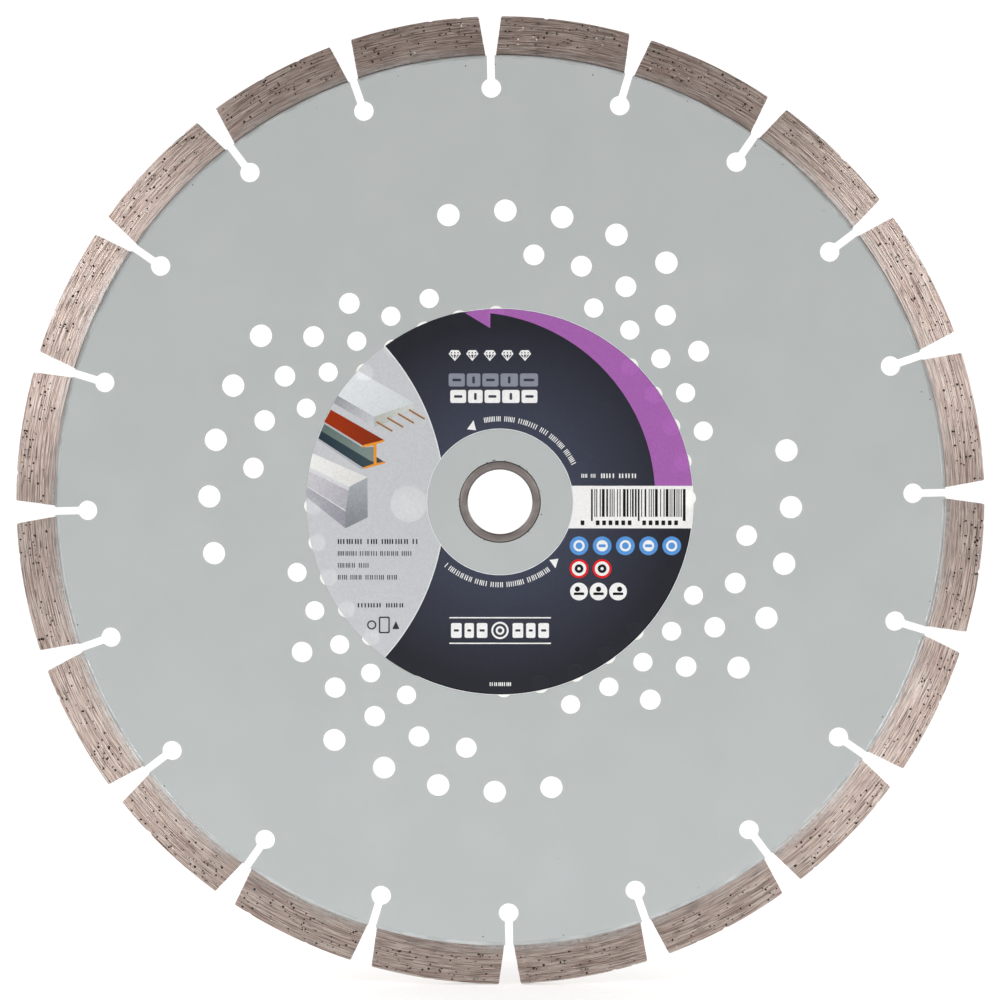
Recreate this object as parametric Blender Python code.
"""A segmented diamond saw blade, 300 mm across, with a 25.4 mm bore and a reducing ring to 20 mm.

Metres, +Z up. The blade stands on edge, its axis of spin along Y, and its printed side faces -Y.
The origin is the centre of the bore, halfway through the thickness of the steel core.
"""

import math

import bmesh
import bpy
from mathutils import Vector

# Blade as a whole
BLADE_DIAMETER = 0.300
SEGMENT_COUNT = 20
CORE_CLOCKING = math.radians(1.2)  # how far the core is turned against the upright label
JOINT_GAP = 0.0003  # left open between pieces that are welded together

# Diamond segments
SEGMENT_HEIGHT = 0.012
SEGMENT_LENGTH = 0.0400
SEGMENT_THICKNESS = 0.0028

# Steel core
CORE_THICKNESS = 0.0020
BORE_DIAMETER = 0.0254
SLOT_WIDTH = 0.0024
KEYHOLE_DIAMETER = 0.0061
KEYHOLE_RING_RADIUS = 0.1280
PIN_HOLE_DIAMETER = 0.0115
PIN_HOLE_RADIUS = 0.0284
PIN_HOLE_ANGLE = math.radians(180)

# Cooling holes: swept rows of holes, on rings whose holes grow towards the rim
COOLING_ARMS = 4
HOLES_PER_ROW = 5
HOLE_STEP = math.radians(11.25)
RING_LAG = math.radians(18)
COOLING_RINGS = [  # radius of the ring, diameter of its holes
    (0.0580, 0.0055),
    (0.0667, 0.0060),
    (0.0772, 0.0065),
    (0.0902, 0.0070),
]

# Reducing ring
REDUCED_BORE_DIAMETER = 0.0200
REDUCING_RING_CLEARANCE = 0.00015
REDUCING_RING_THICKNESS = 0.0018
REDUCING_RING_CHAMFER = 0.0003

# Label
LABEL_OUTER_DIAMETER = 0.120
LABEL_INNER_DIAMETER = 0.045
LABEL_THICKNESS = 0.0001
LABEL_GAP = 0.0001  # the film of glue

# Fineness of the arcs
RIM_STEPS = 8
KEYHOLE_STEPS = 12
COOLING_HOLE_SIDES = 16
PIN_HOLE_SIDES = 24
BORE_SIDES = 72
SHARP_ANGLE = math.radians(35)

CORE_RADIUS = BLADE_DIAMETER / 2 - SEGMENT_HEIGHT
SECTOR = 2 * math.pi / SEGMENT_COUNT


def clear_scene():
    for existing in list(bpy.data.objects):
        bpy.data.objects.remove(existing, do_unlink=True)


def make_material(name, colour, roughness, metallic):
    material = bpy.data.materials.new(name)
    material.use_nodes = True
    shader = material.node_tree.nodes["Principled BSDF"]
    shader.inputs["Base Color"].default_value = (*colour, 1.0)
    shader.inputs["Roughness"].default_value = roughness
    shader.inputs["Metallic"].default_value = metallic
    return material


def disc_point(radius, angle):
    """A point of the blade's plane: angle 0 is +X, and angles grow towards +Z."""
    return Vector((radius * math.cos(angle), 0.0, radius * math.sin(angle)))


def arc(radius, start, end, steps, centre=(0.0, 0.0, 0.0)):
    """Points along an arc, both ends included."""
    angles = [start + (end - start) * i / steps for i in range(steps + 1)]
    return [Vector(centre) + disc_point(radius, angle) for angle in angles]


def circle(radius, sides, centre=(0.0, 0.0, 0.0)):
    return arc(radius, 0.0, 2 * math.pi, sides, centre)[:-1]


def shade_round(mesh):
    mesh.shade_smooth()
    mesh.set_sharp_from_angle(angle=SHARP_ANGLE)


def plate(name, loops, thickness):
    """A flat plate, halved by the blade's plane. The loops are its outline and its holes."""
    bm = bmesh.new()
    for loop in loops:
        corners = [bm.verts.new(point) for point in loop]
        for here, following in zip(corners, corners[1:] + corners[:1]):
            bm.edges.new((here, following))
    bmesh.ops.triangle_fill(bm, use_beauty=True, use_dissolve=False, edges=bm.edges[:])
    bmesh.ops.translate(bm, verts=bm.verts[:], vec=(0.0, -thickness / 2, 0.0))
    extruded = bmesh.ops.extrude_face_region(bm, geom=bm.faces[:])
    far_side = [item for item in extruded["geom"] if isinstance(item, bmesh.types.BMVert)]
    bmesh.ops.translate(bm, verts=far_side, vec=(0.0, thickness, 0.0))
    bmesh.ops.recalc_face_normals(bm, faces=bm.faces[:])
    mesh = bpy.data.meshes.new(name)
    bm.to_mesh(mesh)
    bm.free()
    shade_round(mesh)
    return mesh


def turned(name, profile, steps):
    """A ring: a closed profile of (radius, y) points, spun about the Y axis."""
    bm = bmesh.new()
    corners = [bm.verts.new((radius, y, 0.0)) for radius, y in profile]
    for here, following in zip(corners, corners[1:] + corners[:1]):
        bm.edges.new((here, following))
    bmesh.ops.spin(
        bm,
        geom=bm.verts[:] + bm.edges[:],
        cent=(0.0, 0.0, 0.0),
        axis=(0.0, 1.0, 0.0),
        angle=2 * math.pi,
        steps=steps,
        use_merge=True,
    )
    bmesh.ops.recalc_face_normals(bm, faces=bm.faces[:])
    mesh = bpy.data.meshes.new(name)
    bm.to_mesh(mesh)
    bm.free()
    shade_round(mesh)
    return mesh


def add_object(name, mesh, material):
    piece = bpy.data.objects.new(name, mesh)
    if not mesh.materials:
        mesh.materials.append(material)
    bpy.context.scene.collection.objects.link(piece)
    return piece


def cooling_holes():
    """Every cooling hole's loop: each arm is a row of holes on each ring, and each row lags the last."""
    holes = []
    for arm in range(COOLING_ARMS):
        for ring, (ring_radius, hole_diameter) in enumerate(COOLING_RINGS):
            for hole in range(HOLES_PER_ROW):
                angle = arm * 2 * math.pi / COOLING_ARMS + ring * RING_LAG + hole * HOLE_STEP
                centre = disc_point(ring_radius, angle)
                holes.append(circle(hole_diameter / 2, COOLING_HOLE_SIDES, centre))
    return holes


def core_outline():
    """The core's rim, broken at every sector by a slot that ends in a round keyhole."""
    half_slot = SLOT_WIDTH / 2
    slot_at_rim = math.asin(half_slot / CORE_RADIUS)
    mouth = math.asin(half_slot / (KEYHOLE_DIAMETER / 2))
    points = []
    for sector in range(SEGMENT_COUNT):
        slot_angle = sector * SECTOR
        keyhole_centre = disc_point(KEYHOLE_RING_RADIUS, slot_angle)
        points += arc(
            KEYHOLE_DIAMETER / 2,
            slot_angle - mouth,
            slot_angle + mouth - 2 * math.pi,
            KEYHOLE_STEPS,
            keyhole_centre,
        )
        points += arc(
            CORE_RADIUS,
            slot_angle + slot_at_rim,
            slot_angle + SECTOR - slot_at_rim,
            RIM_STEPS,
        )
    return points


def make_core(material):
    pin_hole_centre = disc_point(PIN_HOLE_RADIUS, PIN_HOLE_ANGLE)
    loops = [core_outline(), circle(BORE_DIAMETER / 2, BORE_SIDES)]
    loops.append(circle(PIN_HOLE_DIAMETER / 2, PIN_HOLE_SIDES, pin_hole_centre))
    loops += cooling_holes()
    core = add_object("steel_core", plate("steel_core", loops, CORE_THICKNESS), material)
    core.rotation_euler.y = -CORE_CLOCKING
    return core


def make_segments(core, material):
    """Equal blocks with parallel ends, each centred between two slots."""
    half_length = SEGMENT_LENGTH / 2
    foot_radius = CORE_RADIUS + JOINT_GAP
    rim_radius = BLADE_DIAMETER / 2
    rim_reach = math.asin(half_length / rim_radius)
    foot_reach = math.asin(half_length / foot_radius)
    outline = arc(rim_radius, -rim_reach, rim_reach, RIM_STEPS)
    outline += arc(foot_radius, foot_reach, -foot_reach, RIM_STEPS)
    mesh = plate("diamond_segment", [outline], SEGMENT_THICKNESS)
    for number in range(SEGMENT_COUNT):
        segment = add_object(f"diamond_segment_{number + 1:02d}", mesh, material)
        segment.parent = core
        segment.rotation_euler.y = -(number + 0.5) * SECTOR


def make_reducing_ring(material):
    outer = BORE_DIAMETER / 2 - REDUCING_RING_CLEARANCE
    inner = REDUCED_BORE_DIAMETER / 2
    face = REDUCING_RING_THICKNESS / 2
    cut = REDUCING_RING_CHAMFER
    profile = [
        (outer, -face + cut),
        (outer, face - cut),
        (outer - cut, face),
        (inner + cut, face),
        (inner, face - cut),
        (inner, -face + cut),
        (inner + cut, -face),
        (outer - cut, -face),
    ]
    add_object("reducing_ring", turned("reducing_ring", profile, BORE_SIDES), material)


def make_label(material):
    loops = [circle(LABEL_OUTER_DIAMETER / 2, BORE_SIDES), circle(LABEL_INNER_DIAMETER / 2, BORE_SIDES)]
    label = add_object("printed_label", plate("printed_label", loops, LABEL_THICKNESS), material)
    label.location.y = -(CORE_THICKNESS / 2 + LABEL_GAP + LABEL_THICKNESS / 2)


def main():
    clear_scene()
    core = make_core(make_material("light_grey_paint", (0.49, 0.52, 0.51), 0.4, 0.0))
    make_segments(core, make_material("sintered_metal", (0.34, 0.27, 0.24), 0.45, 0.8))
    make_reducing_ring(make_material("ring_steel", (0.23, 0.20, 0.19), 0.4, 0.8))
    make_label(make_material("label_film", (0.04, 0.045, 0.065), 0.35, 0.0))


main()
